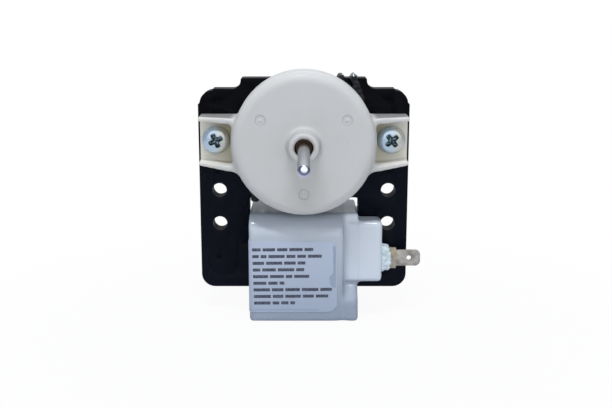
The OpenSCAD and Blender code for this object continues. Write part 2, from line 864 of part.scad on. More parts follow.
// The dome with its two ears, before the hub is bored
module bracket_body(dome_r) {
    difference() {
        union() {
            turned() dome_profile(dome_r);
            for (side = [0, 1]) mirror([side, 0, 0]) ear(dome_r);
        }
        turned() dome_room_profile(dome_r);
        ring_relief(0.4);
        for (angle = [30, 150, 270]) ejector_mark(angle);
    }
}

module ejector_mark(angle) {
    depth = 0.15;
    translate([ejector_r * cos(angle), 0, ejector_r * sin(angle)]) difference() {
        along_y(0, 0, ejector_d / 2, dome_face_y - over, dome_face_y + depth);
        along_y(0, 0, ejector_d / 6, dome_face_y - 2 * over, dome_face_y + 2 * depth);
    }
}

// The bearing's ball seat, its mouth, and the pocket for the retainer and the felt
module bearing_room() {
    mouth_r = seat_r + 1.2;
    translate([0, bearing_y, 0]) sphere(seat_r);
    turned() polygon([
        [0, bearing_y], [seat_r, bearing_y], [seat_r, dome_inner_y - 1],
        [mouth_r, dome_inner_y], [0, dome_inner_y]
    ]);
    along_y(0, 0, pocket_r, dome_inner_y, boss_end_y + over);
}

module front_bracket() {
    color("#d3d3ca") difference() {
        bracket_body(front_dome_r);
        bearing_room();
        along_y(0, 0, hub_hole_d / 2, -over, bearing_y);
    }
}

// A similar moulding with a smaller dome and a closed hub
module rear_bracket() {
    hub_end_wall = 1.2;
    color("#d3d3ca") at_rear() difference() {
        bracket_body(rear_dome_r);
        bearing_room();
        along_y(0, 0, hub_hole_d / 2, hub_end_wall, bearing_y);
    }
}

// Bearings, felts and their keepers

// A short ball with flat ends, bored for the shaft
module sleeve_bearing() {
    end_turn = asin(bearing_len / bearing_d);
    color("#8a5a34") turned() polygon(concat(
        [[shaft_r + shaft_fit, hub_lip]],
        arc([0, bearing_y], bearing_d / 2, -end_turn, end_turn, 24),
        [[shaft_r + shaft_fit, bearing_end_y]]
    ));
}

// Spring disc whose fingers hold the bearing in its seat
module bearing_retainer() {
    lip = 0.12;
    lip_y = retainer_y - 0.2;
    lip_r = sqrt(pow(bearing_d / 2, 2) - pow(lip_y - bearing_y, 2)) + lip;
    root_r = seat_r + 1.25;
    gap_w = 0.9;
    color("#9aa0a6") difference() {
        turned() polygon([
            [lip_r, lip_y], [lip_r + 0.2, lip_y - 0.2], [root_r, retainer_y],
            [pocket_r - close_fit, retainer_y], [pocket_r - close_fit, retainer_y + spring_t],
            [root_r - 0.1, retainer_y + spring_t]
        ]);
        for (i = [0:retainer_fingers - 1])
            slab(lip_y - 1, retainer_y + 1) rotate(i * 360 / retainer_fingers)
                translate([0, -gap_w / 2]) square([root_r + 0.5, gap_w]);
    }
}

module oil_felt() {
    color("#d8cfae") turned() difference() {
        plate([sleeve_r, felt_y], [pocket_r - mould_fit, felt_y + felt_t], [0, 0.3, 0.3, 0]);
    }
}

// Pressed cup that closes the felt's pocket
module felt_cap() {
    outer_r = pocket_r - close_fit;
    color("#9aa0a6") turned() polygon([
        [sleeve_r, cap_y], [outer_r, cap_y], [outer_r, cap_y + spring_t + cap_rim],
        [outer_r - spring_t, cap_y + spring_t + cap_rim], [outer_r - spring_t, cap_y + spring_t],
        [sleeve_r, cap_y + spring_t]
    ]);
}

module thrust_washer() {
    color("#e9e4d2") turned()
        translate([shaft_r + close_fit, washer_y])
            square([washer_d / 2 - shaft_r - close_fit, washer_t]);
}

module spacer() {
    start_y = washer_y + washer_t + close_fit;
    color("#c9c9c4") turned()
        plate([shaft_r + close_fit, start_y], [spacer_d / 2, core_y - close_fit],
              [0, 0.3, 0.3, 0]);
}

module front_bearing() {
    sleeve_bearing();
}

module rear_bearing() {
    at_rear() sleeve_bearing();
}

module front_bearing_retainer() {
    bearing_retainer();
}

module rear_bearing_retainer() {
    at_rear() bearing_retainer();
}

module front_oil_felt() {
    oil_felt();
}

module rear_oil_felt() {
    at_rear() oil_felt();
}

module front_felt_cap() {
    felt_cap();
}

module rear_felt_cap() {
    at_rear() felt_cap();
}

module front_thrust_washer() {
    thrust_washer();
}

module rear_thrust_washer() {
    at_rear() thrust_washer();
}

module front_spacer() {
    spacer();
}

module rear_spacer() {
    at_rear() spacer();
}

// Fasteners

module cross_recess(turn) {
    depth = head_h * 0.6;
    top_y = ear_face_y - head_h;
    wide = head_d * 0.52;
    thin = 1;
    for (arm = [0, 90])
        translate([0, top_y - over, 0]) rotate([0, turn + arm, 0])
            translate([-wide / 2, 0, -thin / 2]) cube([wide, depth + over, thin]);
}

module bracket_screw(turn) {
    r = head_d / 2;
    crown = head_h * 0.55;
    difference() {
        union() {
            turned() polygon(concat(
                [[0, ear_face_y], [r, ear_face_y], [r, ear_face_y - head_h + crown]],
                [for (a = [10:10:80])
                    [r - 1.3 + 1.3 * cos(a), ear_face_y - head_h + crown * (1 - sin(a))]],
                [[0, ear_face_y - head_h]]
            ));
            along_y(0, 0, screw_d / 2, ear_face_y, ear_face_y + screw_len);
        }
        cross_recess(turn);
    }
}

module bracket_screws() {
    color("#b9bec6") {
        translate([-hole_x, 0, 0]) bracket_screw(left_recess_turn);
        translate([hole_x, 0, 0]) bracket_screw(right_recess_turn);
    }
}

module bracket_nuts() {
    seat_y = 2 * mid_y - ear_face_y;
    corner_r = nut_flats / sqrt(3);
    color("#b9bec6") for (side = [-1, 1]) translate([side * hole_x, 0, 0])
        intersection() {
            slab(seat_y, seat_y + nut_t) difference() {
                circle(corner_r, $fn = 6);
                circle(screw_d / 2 + close_fit);
            }
            turned() polygon([
                [0, seat_y], [corner_r, seat_y], [corner_r, seat_y + nut_t - 0.4],
                [nut_flats / 2, seat_y + nut_t], [0, seat_y + nut_t]
            ]);
        }
}

// Rotor

module cage_bar_places(r) {
    for (i = [0:cage_bars - 1])
        rotate(i * 360 / cage_bars) translate([rotor_d / 2 - cage_bar_d, 0]) circle(r);
}

module rotor_core() {
    color("#5b5f66") slab(core_y, core_back_y) difference() {
        circle(rotor_d / 2);
        circle(shaft_r + close_fit);
        cage_bar_places(cage_bar_d / 2 + close_fit);
    }
}

// Cast cage: bars through the rotor's sheets and a ring at each end
module rotor_cage() {
    outer_r = rotor_d / 2 - cage_bar_d / 3;
    edge = 0.5;
    color("#b8bcc2") {
        slab(core_y - end_ring_t / 2, core_back_y + end_ring_t / 2) cage_bar_places(cage_bar_d / 2);
        turned() plate([end_ring_id / 2, core_y - close_fit - end_ring_t],
                       [outer_r, core_y - close_fit], [edge, edge, 0, 0]);
        turned() plate([end_ring_id / 2, core_back_y + close_fit],
                       [outer_r, core_back_y + close_fit + end_ring_t], [0, 0, edge, edge]);
    }
}

module shaft() {
    rear_y = 2 * mid_y - hub_lip + 0.5;
    groove_y = (hub_lip - groove_w) / 2;
    c = shaft_chamfer;
    color("#a9abad") turned() polygon([
        [0, -shaft_free], [shaft_r - c, -shaft_free], [shaft_r, -shaft_free + c],
        [shaft_r, groove_y], [shaft_r - groove_depth, groove_y],
        [shaft_r - groove_depth, groove_y + groove_w], [shaft_r, groove_y + groove_w],
        [shaft_r, rear_y - c], [shaft_r - c, rear_y], [0, rear_y]
    ]);
}

stator_core();
coil_bar();
shading_ring_upper_outer();
shading_ring_upper_inner();
shading_ring_lower_outer();
shading_ring_lower_inner();
bobbin();
winding();
coil_cover();
terminal_front();
terminal_rear();
terminal_seal_front();
terminal_seal_rear();
rating_label();
front_bracket();
rear_bracket();
front_bearing();
rear_bearing();
front_bearing_retainer();
rear_bearing_retainer();
front_oil_felt();
rear_oil_felt();
front_felt_cap();
rear_felt_cap();
bracket_screws();
bracket_nuts();
rotor_core();
rotor_cage();
shaft();
front_thrust_washer();
rear_thrust_washer();
front_spacer();
rear_spacer();
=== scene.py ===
import math
import random

import bmesh
import bpy
from mathutils import Matrix, Vector, noise


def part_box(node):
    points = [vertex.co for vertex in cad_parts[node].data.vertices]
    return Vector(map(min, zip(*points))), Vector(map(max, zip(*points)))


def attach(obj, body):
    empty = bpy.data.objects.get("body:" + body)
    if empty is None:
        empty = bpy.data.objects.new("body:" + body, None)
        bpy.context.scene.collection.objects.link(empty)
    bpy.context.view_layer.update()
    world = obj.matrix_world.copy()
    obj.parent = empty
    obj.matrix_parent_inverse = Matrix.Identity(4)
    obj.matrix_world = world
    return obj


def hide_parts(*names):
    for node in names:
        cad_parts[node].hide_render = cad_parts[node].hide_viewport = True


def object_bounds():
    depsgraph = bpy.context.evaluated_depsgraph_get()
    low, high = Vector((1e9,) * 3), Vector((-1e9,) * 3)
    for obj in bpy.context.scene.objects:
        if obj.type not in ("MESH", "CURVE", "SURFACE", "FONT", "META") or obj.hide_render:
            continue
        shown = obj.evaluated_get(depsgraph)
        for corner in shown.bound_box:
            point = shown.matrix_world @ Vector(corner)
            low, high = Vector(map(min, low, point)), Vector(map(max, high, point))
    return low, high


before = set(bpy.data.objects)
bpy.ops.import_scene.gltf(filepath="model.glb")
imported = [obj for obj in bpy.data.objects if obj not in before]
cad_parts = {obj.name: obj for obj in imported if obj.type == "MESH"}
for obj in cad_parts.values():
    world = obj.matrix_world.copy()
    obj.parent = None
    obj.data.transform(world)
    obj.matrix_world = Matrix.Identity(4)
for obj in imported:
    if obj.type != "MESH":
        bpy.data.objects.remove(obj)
cad_low, cad_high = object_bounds()
scene = bpy.context.scene
scene.view_settings.view_transform = "Standard"

MM = 0.001
BODY = "motor_body"
ROTOR = "rotor"

# Places on the motor in mm, in the shared frame

# Ejector marks on the brackets' domes
MARK_R = 13.75
MARK_D = 2.8
# Depth of the front dome's face behind the hub's front face
DOME_Y = 5.6
# Where an ear's rim meets the front dome
EAR_ROOT_R = 20.2
# The front of an ear's rim is at the depth RIM_FRONT + RIM_SLOPE * |x|
RIM_SLOPE = 0.3125
RIM_FRONT = 2.62
# The coil cover: its faces, the side of its raised front and the foot of its terminal boxes
COVER_FRONT_Y = 8.2
COVER_REAR_Y = 37.7
STEP_X = 11.3
BOX_FOOT_Z = -41.2
# Where the upper shading rings come out over the core's edge
RING_EDGE_Z = 16.2
SCREW_HEAD_R = 4

# Camera, solved from the photograph: place in mm, pitch below the horizon and focal length
CAMERA_MM = (0.0, -247.34, 41.48)
CAMERA_PITCH = 12.62
FRAME_PX = (612, 408)
FOCAL_PX = 931.75
CENTRE_PX = (303.8, 199.58)
SENSOR_MM = 36.0


def link_object(name, data):
    thing = bpy.data.objects.new(name, data)
    scene.collection.objects.link(thing)
    return thing


def make_camera():
    data = bpy.data.cameras.new("camera")
    data.sensor_width = SENSOR_MM
    data.lens = FOCAL_PX / FRAME_PX[0] * SENSOR_MM
    data.shift_x = (FRAME_PX[0] / 2 - CENTRE_PX[0]) / FRAME_PX[0]
    data.shift_y = (CENTRE_PX[1] - FRAME_PX[1] / 2) / FRAME_PX[0]
    data.clip_start = 0.005
    camera = link_object("camera", data)
    camera.location = Vector(CAMERA_MM) * MM
    camera.rotation_euler = (math.radians(90 - CAMERA_PITCH), 0, 0)
    scene.camera = camera


# Materials

class Surface:
    """A procedural material under construction. Lengths are in mm on the object."""

    def __init__(self, name, colour, roughness, metallic=0.0):
        self.material = bpy.data.materials.new(name)
        self.material.use_nodes = True
        self.tree = self.material.node_tree
        self.shader = self.tree.nodes["Principled BSDF"]
        self.set("Base Color", (*colour, 1))
        self.set("Roughness", roughness)
        self.set("Metallic", metallic)
        self.place = self.add("ShaderNodeTexCoord").outputs["Object"]
        self.normal = None

    def add(self, kind, **settings):
        node = self.tree.nodes.new(kind)
        for key, value in settings.items():
            setattr(node, key, value)
        return node

    def set(self, socket, value):
        self.shader.inputs[socket].default_value = value

    def set_subsurface(self, weight, radius):
        self.set("Subsurface Weight", weight)
        self.set("Subsurface Radius", radius)
        self.set("Subsurface Scale", 1.0)

    def feed(self, socket, value):
        if isinstance(value, bpy.types.NodeSocket):
            self.tree.links.new(value, socket)
        else:
            socket.default_value = value

    def drive(self, socket, value):
        self.tree.links.new(value, self.shader.inputs[socket])

    def map_place(self, texture, scale, location):
        """Feeds a texture with the place, scaled and shifted."""
        shift = self.add("ShaderNodeMapping")
        self.tree.links.new(self.place, shift.inputs["Vector"])
        shift.inputs["Scale"].default_value = scale
        shift.inputs["Location"].default_value = location
        self.tree.links.new(shift.outputs["Vector"], texture.inputs["Vector"])

    def noise(self, size, detail=3.0, stretch=(1, 1, 1), offset=0.0):
        """Noise from 0 to 1 with features of this size."""
        texture = self.add("ShaderNodeTexNoise")
        texture.inputs["Scale"].default_value = 1.0
        texture.inputs["Detail"].default_value = detail
        scale = [s / (size * MM) for s in stretch]
        self.map_place(texture, scale, (offset, offset * 1.7, offset * 0.6))
        return texture.outputs["Fac"]

    def specks(self, size, share):
        """1 inside scattered round specks, 0 elsewhere."""
        cells = self.add("ShaderNodeTexVoronoi")
        cells.inputs["Scale"].default_value = 1.0
        self.map_place(cells, [1 / (size * MM)] * 3, (0, 0, 0))
        picked = self.add("ShaderNodeSeparateColor")
        self.tree.links.new(cells.outputs["Color"], picked.inputs["Color"])
        chosen = self.maths("LESS_THAN", picked.outputs["Red"], share)
        reach = self.times(picked.outputs["Green"], 0.22)
        return self.times(chosen, self.maths("LESS_THAN", cells.outputs["Distance"], reach))

    def axis(self, name):
        """The place along X, Y or Z, in mm."""
        parts = self.add("ShaderNodeSeparateXYZ")
        self.tree.links.new(self.place, parts.inputs["Vector"])
        return self.times(parts.outputs[name], 1 / MM)

    def maths(self, operation, a, b=0.0):
        node = self.add("ShaderNodeMath", operation=operation)
        self.feed(node.inputs[0], a)
        self.feed(node.inputs[1], b)
        return node.outputs["Value"]

    def times(self, first, *others):
        for other in others:
            first = self.maths("MULTIPLY", first, other)
        return first

    def plus(self, a, b):
        return self.maths("ADD", a, b)

    def minus(self, a, b):
        return self.maths("SUBTRACT", a, b)

    def distance(self, a, b):
        return self.maths("SQRT", self.plus(self.times(a, a), self.times(b, b)))

    def spread(self, value, low, high, to_low=0.0, to_high=1.0):
        """Goes smoothly from to_low at low to to_high at high."""
        node = self.add("ShaderNodeMapRange", interpolation_type="SMOOTHSTEP")
        self.feed(node.inputs["Value"], value)
        node.inputs["From Min"].default_value = low
        node.inputs["From Max"].default_value = high
        node.inputs["To Min"].default_value = to_low
        node.inputs["To Max"].default_value = to_high
        return node.outputs["Result"]

    def band(self, value, low, high, soft):
        """1 between low and high, fading to 0 over soft mm on both sides."""
        return self.times(self.spread(value, low - soft, low),
                          self.spread(value, high + soft, high))

    def cloud(self, size, detail=3.0, to_low=0.0, to_high=1.0, offset=0.0):
        """Noise stretched to fill the whole range from to_low to to_high."""
        return self.spread(self.noise(size, detail, offset=offset), 0.3, 0.7, to_low, to_high)

    def mix(self, share, a, b):
        node = self.add("ShaderNodeMix", data_type="RGBA")
        self.feed(node.inputs["Factor"], share)
        for socket, colour in ((node.inputs[6], a), (node.inputs[7], b)):
            self.feed(socket, colour if isinstance(colour, bpy.types.NodeSocket) else (*colour, 1))
        return node.outputs[2]

    def tint(self, colour, other, amount, mask):
        """Mixes this amount of another colour in where the mask is 1."""
        return self.mix(self.times(mask, amount), colour, other)

    def pin_marks(self):
        """The ejector marks on the dome's face: 1 on their outlines, and 1 in their middles."""
        x, y, z = self.axis("X"), self.axis("Y"), self.axis("Z")
        face = self.maths("LESS_THAN", self.maths("ABSOLUTE", self.minus(y, DOME_Y)), 0.6)
        ring = dot = 0.0
        for turn in (30, 150, 270):
            far = self.distance(self.minus(x, MARK_R * math.cos(math.radians(turn))),
                                self.minus(z, MARK_R * math.sin(math.radians(turn))))
            edge = self.band(far, MARK_D / 2 - 0.10, MARK_D / 2 + 0.02, 0.14)
            ring = self.plus(edge, ring)
            dot = self.plus(self.spread(far, 0.55, 0.30), dot)
        return self.times(ring, face), self.times(dot, face)

    def bump(self, height, depth):
        """Adds relief: a height from 0 to 1 stands for this depth in mm."""
        node = self.add("ShaderNodeBump")
        node.inputs["Strength"].default_value = 1.0
        node.inputs["Distance"].default_value = depth * MM
        self.tree.links.new(height, node.inputs["Height"])
        if self.normal is not None:
            self.tree.links.new(self.normal, node.inputs["Normal"])
        self.normal = node.outputs["Normal"]
        self.drive("Normal", self.normal)


def nylon():
    """Cream moulding, with painted light in the ears' channels and painted shade on the hub and
    the ears.
    """
    cream = (0.548, 0.554, 0.556)
    warm = (0.528, 0.525, 0.503)
    speck = (0.36, 0.31, 0.22)
    painted_channel_light = (0.780, 0.755, 0.670)
    painted_corner_shade = (0.50, 0.43, 0.27)
    painted_ear_top_shade = (0.215, 0.215, 0.225)
    painted_hub_side_shade = (0.44, 0.45, 0.45)
    painted_hub_root_shade = (0.45, 0.46, 0.46)
    mark = (0.34, 0.31, 0.25)

    s = Surface("cream_nylon", cream, 0.42)
    s.set_subsurface(0.12, (0.0016, 0.0013, 0.0009))
    s.set("Specular IOR Level", 0.22)
    x, y, z = s.axis("X"), s.axis("Y"), s.axis("Z")
    far = s.distance(x, z)
    aside = s.maths("ABSOLUTE", x)
    on_ear = s.spread(aside, 19.0, 21.0)

    colour = s.tint(cream, warm, 0.35, s.spread(s.noise(9, 2), 0.35, 0.75))
    colour = s.tint(colour, speck, 0.4, s.specks(2.4, 0.06))

    # Painted light: the ears' channels are paler here.
    in_channel = s.times(on_ear, s.spread(y, DOME_Y + 3.5, DOME_Y + 9.0))
    colour = s.tint(colour, painted_channel_light, 0.85, in_channel)

    # Painted shade on the hub's side and on its root, where it meets the dome.
    round_hub = s.times(s.band(far, 4.1, 5.2, 0.5), s.band(y, 0.6, DOME_Y - 0.9, 0.5))
    colour = s.tint(colour, painted_hub_side_shade, 0.9, round_hub)
    at_root = s.times(s.band(far, 4.9, 5.0, 0.35), s.band(y, DOME_Y - 1.2, DOME_Y + 1.0, 0.4))
    colour = s.tint(colour, painted_hub_root_shade, 0.45, at_root)

    # Painted shade: the ears' top faces, behind the rims, are greyed.
    past_rim = s.spread(s.minus(y, s.times(aside, RIM_SLOPE)), RIM_FRONT + 0.4, RIM_FRONT + 1.1)
    on_top = s.times(s.spread(z, 6.55, 6.9), past_rim, on_ear)
    colour = s.tint(colour, painted_ear_top_shade, 0.92, on_top)

    # Painted shade: the channels' corners, towards the dome and under the top rim, are darker.
    in_corner = s.times(in_channel, s.spread(aside, 26.5, 20.6), s.spread(z, 6.5, 6.1),
                        s.spread(z, -7.5, 4.5, 0.35, 1.0))
    colour = s.tint(colour, painted_corner_shade, 0.75, in_corner)

    s.bump(s.noise(0.35, 2), 0.004)
    s.bump(s.noise(6, 1, offset=2), 0.05)
    ring, dot = s.pin_marks()
    colour = s.tint(colour, mark, 0.22, ring)
    s.bump(ring, -0.10)
    s.bump(dot, 0.10)
    s.drive("Base Color", colour)
    s.drive("Roughness", s.cloud(3, 3, 0.42, 0.54, offset=4))
    return s.material


def white_gloss():
    """The coil cover's moulding, with painted shade towards its foot, painted light on its boxes,
    and dull ramps.
    """
    white = (0.430, 0.482, 0.550)
    shade = (0.400, 0.452, 0.525)
    foot = (0.285, 0.337, 0.430)
    painted_box_light = (0.600, 0.660, 0.745)
    speck = (0.16, 0.17, 0.18)
    seam_line = (0.26, 0.29, 0.33)
    seam_x = 15.8

    s = Surface("white_gloss", white, 0.2)
    s.set("Specular IOR Level", 0.5)
    s.set("Coat Roughness", 0.12)
    x, z = s.axis("X"), s.axis("Z")

    colour = s.mix(s.cloud(12, 2, offset=3), white, shade)
    # Painted shade: the colour darkens towards the cover's foot.
    colour = s.mix(s.spread(z, -30.0, -50.0), colour, foot)
    # Painted light: the terminal boxes are made whiter.
    on_box = s.times(s.spread(x, STEP_X, STEP_X + 1.3),
                     s.spread(z, BOX_FOOT_Z, BOX_FOOT_Z + 1.0))
    colour = s.mix(on_box, colour, painted_box_light)
    colour = s.tint(colour, speck, 0.55, s.specks(2.2, 0.08))
    seam = s.band(x, seam_x - 0.03, seam_x + 0.03, 0.10)
    colour = s.tint(colour, seam_line, 0.22, seam)
    s.drive("Base Color", colour)

    on_ramp = s.times(s.spread(x, 10.6, 11.4), s.spread(z, -41.5, -43.0))
    s.drive("Roughness", s.plus(s.cloud(6, 3, 0.16, 0.26, offset=9), s.times(on_ramp, 0.35)))
    s.drive("Coat Weight", s.times(s.minus(1.0, on_ramp), 0.25))
    s.bump(s.noise(7, 1.5), 0.10)
    s.bump(s.noise(0.8, 2), 0.004)
    s.bump(s.minus(1.0, seam), 0.03)
    return s.material


def lacquer():
    """The core's black lacquer, with a painted bluish reflection on the legs."""
    black = (0.0006, 0.0008, 0.0020)
    painted_blue_reflection = (0.0038, 0.0050, 0.0110)
    dust = (0.012, 0.014, 0.021)
    s = Surface("black_lacquer", black, 0.3)
    s.set("Specular IOR Level", 0.055)
    # Painted reflection: the core is bluer below the bore.
    colour = s.mix(s.spread(s.axis("Z"), 9.0, -9.0), black, painted_blue_reflection)
    colour = s.tint(colour, dust, 0.4, s.spread(s.noise(2.2, 5, offset=6), 0.62, 0.78))
    s.drive("Base Color", colour)
    s.drive("Roughness", s.cloud(5, 4, 0.26, 0.40))
    s.bump(s.noise(1.4, 2), 0.008)
    s.bump(s.noise(0.25, 2, offset=3), 0.002)
    return s.material


def ring_lacquer():
    black = (0.0075, 0.0080, 0.0130)
    grey = (0.040, 0.046, 0.066)
    s = Surface("ring_lacquer", black, 0.3)
    s.set("Specular IOR Level", 0.22)
    s.drive("Base Color", s.mix(s.spread(s.noise(1.1, 4), 0.60, 0.76), black, grey))
    s.drive("Roughness", s.cloud(1.6, 3, 0.20, 0.42, offset=5))
    s.bump(s.noise(0.9, 3, offset=1), 0.07)
    return s.material


def weld_metal():
    s = Surface("weld_metal", (0.33, 0.35, 0.40), 0.38, 0.75)
    patch = s.spread(s.noise(0.7, 4), 0.4, 0.65)
    s.drive("Base Color", s.mix(patch, (0.42, 0.44, 0.50), (0.10, 0.10, 0.12)))
    s.bump(s.noise(0.4, 3), 0.06)
    return s.material


def zinc(head_y, screw_x):
    """Plated steel, with painted reflections on the heads. The screws' recesses, behind head_y and
    near their axes, get painted shade.
    """
    painted_blue_reflection = (0.50, 0.63, 0.76)
    painted_warm_reflection = (0.58, 0.60, 0.57)
    dark = (0.020, 0.050, 0.065)
    fleck = (0.36, 0.48, 0.52)
    s = Surface("zinc", (0.55, 0.60, 0.67), 0.2, 0.55)
    x, z = s.axis("X"), s.axis("Z")
    # Painted reflections: each head is bluer towards its left and warmer towards its right.
    inward = s.minus(s.maths("ABSOLUTE", x), screw_x)
    across = s.plus(s.times(s.maths("SIGN", x), inward), s.times(s.noise(3.5, 2), 2.0))
    plate = s.mix(s.spread(across, 0.0, 2.6), painted_blue_reflection, painted_warm_reflection)
    # Painted shade in the cross recesses, broken by lighter flecks.
    deep = s.times(s.band(s.axis("Y"), head_y + 0.35, head_y + 2.5, 0.25),
                   s.spread(s.distance(inward, z), 2.5, 2.3))
    painted_recess_shade = s.tint(dark, fleck, 0.75, s.spread(s.noise(0.55, 2, offset=3), 0.50, 0.60))
    s.drive("Base Color", s.mix(deep, plate, painted_recess_shade))
    s.drive("Roughness", s.cloud(1.5, 3, 0.14, 0.24, offset=2))
    s.bump(s.noise(0.8, 2, offset=5), 0.006)
    return s.material


def tinned():
    """The tabs' tinned brass, specked with tarnish and yellower at the root."""
    bright = (0.47, 0.455, 0.43)
    dull = (0.27, 0.250, 0.22)
    tarnish = (0.09, 0.08, 0.07)
    brass = (0.42, 0.33, 0.17)
    s = Surface("tinned_brass", (0.40, 0.385, 0.36), 0.45, 0.8)
    colour = s.mix(s.spread(s.noise(1.6, 4), 0.35, 0.7), bright, dull)
    colour = s.tint(colour, tarnish, 0.75, s.specks(0.7, 0.5))
    root = s.times(s.spread(s.axis("X"), 29.5, 26.0),
                   s.spread(s.noise(1.2, 3, offset=8), 0.4, 0.6))
    colour = s.tint(colour, brass, 0.6, root)
    s.drive("Base Color", colour)
    s.drive("Roughness", s.cloud(0.9, 4, 0.34, 0.60, offset=4))
    s.bump(s.noise(0.5, 4, offset=2), 0.02)
    return s.material


def compound():
    s = Surface("sealing_compound", (0.58, 0.68, 0.74), 0.5)
    s.set_subsurface(0.2, (0.0010, 0.0012, 0.0014))
    patch = s.spread(s.noise(2.2, 3), 0.35, 0.7)
    s.drive("Base Color", s.mix(patch, (0.60, 0.70, 0.76), (0.52, 0.62, 0.67)))
    s.bump(s.noise(0.9, 3), 0.10)
    return s.material


def label_film(right, bottom, top):
    """The label's film between these edges, loose along its right side and its foot."""
    film = (0.428, 0.495, 0.622)
    foot = (0.310, 0.372, 0.485)
    loose = (0.250, 0.315, 0.430)
    rim = (0.34, 0.39, 0.47)
    edge_w = 0.16
    s = Surface("label_film", film, 0.36)
    s.set("Specular IOR Level", 0.4)
    x, z = s.axis("X"), s.axis("Z")
    wave = s.times(s.minus(s.noise(3, 3, offset=7), 0.5), 1.3)

    bulge = s.band(z, bottom + 8.6, bottom + 10.4, 1.4)
    inner = s.minus(right - 1.35, bulge)
    side = s.times(s.spread(s.minus(s.plus(x, wave), inner), 0.0, 0.2),
                   s.spread(x, right - 0.3, right - 0.5),
                   s.spread(z, bottom + 6.9, bottom + 7.7),
                   s.spread(z, bottom + 20.3, bottom + 19.3))
    colour = s.tint(film, loose, 0.75, side)
    low = s.times(s.band(s.plus(z, s.times(wave, 0.35)), bottom + 0.5, bottom + 0.9, 0.25),
                  s.spread(x, right - 4, right - 7))
    colour = s.tint(colour, loose, 0.6, low)

    edge = s.maths("MAXIMUM", s.spread(x, right - edge_w, right - 0.02),
                   s.spread(z, bottom + edge_w, bottom + 0.02))
    edge = s.maths("MAXIMUM", edge, s.spread(z, top - edge_w, top - 0.02))
    colour = s.tint(colour, rim, 0.5, edge)
    # Painted shade: the film darkens towards its foot.
    colour = s.tint(colour, foot, 0.5, s.spread(z, top - 3, bottom))
    s.drive("Base Color", colour)
    s.drive("Roughness", s.cloud(4, 3, 0.30, 0.42))
    s.bump(s.noise(6, 2, offset=2), 0.05)
    return s.material


def print_ink():
    s = Surface("print_ink", (0.030, 0.036, 0.060), 0.45)
    worn = s.spread(s.noise(0.5, 3), 0.35, 0.7)
    s.drive("Base Color", s.mix(worn, (0.028, 0.034, 0.056), (0.100, 0.118, 0.170)))
    return s.material


def ground_steel(tip_y):
    """Ground steel, polished on the crown behind tip_y, which has a painted highlight; painted
    shade where it leaves the hub.
    """
    light = (0.37, 0.39, 0.41)
    dark = (0.32, 0.34, 0.36)
    painted_bore_shade = (0.055, 0.032, 0.020)
    glint = (0.80, 0.84, 0.92)
    painted_dark_reflection = (0.12, 0.11, 0.22)
    painted_pale_reflection = (0.60, 0.61, 0.74)
    glint_x, glint_z = 0.1, 0.62
    s = Surface("ground_steel", (0.46, 0.47, 0.49), 0.4, 1.0)
    y = s.axis("Y")
    rings = s.noise(0.3, 2, stretch=(0.15, 1.0, 0.15))
    steel = s.mix(s.spread(s.noise(6, 3, stretch=(1, 0.5, 1)), 0.3, 0.7), light, dark)
    # Painted shade on the shaft where it goes into the hub.
    bore_shade_share = s.spread(y, tip_y + 27.6, tip_y + 28.6)
    steel = s.mix(bore_shade_share, steel, painted_bore_shade)
    # Painted highlight on the tip's crown, ringed by painted reflections that go from dark to
    # pale.
    far = s.distance(s.minus(s.axis("X"), glint_x), s.minus(s.axis("Z"), glint_z))
    lip = s.mix(s.spread(far, 0.95, 1.9), painted_dark_reflection, painted_pale_reflection)
    crown = s.mix(s.spread(far, 0.60, 1.05), glint, lip)
    past_crown = s.spread(y, tip_y + 0.5, tip_y + 0.9)
    s.drive("Base Color", s.mix(past_crown, crown, steel))
    s.drive("Metallic", s.times(s.spread(far, 0.60, 1.15, 0.5, 1.0),
                                s.spread(bore_shade_share, 0.0, 1.0, 1.0, 0.4)))
    s.drive("Roughness", s.plus(s.spread(rings, 0.3, 0.7, 0.0, 0.06),
                                s.spread(past_crown, 0.0, 1.0, 0.20, 0.42)))
    s.bump(rings, 0.001)
    return s.material


def bronze():
    s = Surface("sintered_bronze", (0.08, 0.04, 0.02), 0.5, 0.4)
    s.drive("Base Color", s.mix(s.noise(0.4, 4), (0.035, 0.016, 0.008), (0.100, 0.050, 0.024)))
    s.bump(s.noise(0.2, 3), 0.02)
    return s.material


def plain_metal(name, light, dark, roughness, grain):
    s = Surface(name, light, roughness, 1.0)
    s.drive("Base Color", s.mix(s.cloud(grain * 6), light, dark))
    s.drive("Roughness", s.cloud(grain, 3, roughness - 0.08, roughness + 0.1, offset=3))
    s.bump(s.noise(grain, 3, offset=6), grain * 0.02)
    return s.material


def felt_wool():
    s = Surface("oiled_felt", (0.60, 0.54, 0.38), 0.9)
    s.set("Sheen Weight", 0.4)
    s.drive("Base Color", s.mix(s.noise(0.5, 4), (0.66, 0.60, 0.44), (0.42, 0.36, 0.23)))
    s.bump(s.noise(0.25, 4), 0.08)
    return s.material


def enamelled_copper():
    s = Surface("enamelled_copper", (0.50, 0.19, 0.06), 0.3, 0.7)
    turns = s.noise(0.18, 1, stretch=(1.0, 0.1, 0.1))
    s.drive("Base Color", s.mix(turns, (0.56, 0.23, 0.08), (0.26, 0.08, 0.02)))
    s.bump(turns, 0.05)
    return s.material


def pale_plastic():
    s = Surface("pale_plastic", (0.72, 0.70, 0.62), 0.45)
    s.drive("Base Color", s.mix(s.cloud(4), (0.74, 0.72, 0.64), (0.64, 0.62, 0.54)))
    s.bump(s.noise(0.4, 2), 0.008)
    return s.material


# Meshes

def mesh_from(name, bm):
    mesh = bpy.data.meshes.new(name)
    bm.to_mesh(mesh)
    bm.free()
    return mesh


def link_mesh(name, bm, material, body):
    mesh = mesh_from(name, bm)
    mesh.materials.append(material)
    piece = link_object(name, mesh)
    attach(piece, body)
    return piece


def weld(bm):
    bmesh.ops.remove_doubles(bm, verts=bm.verts, dist=0.002 * MM)


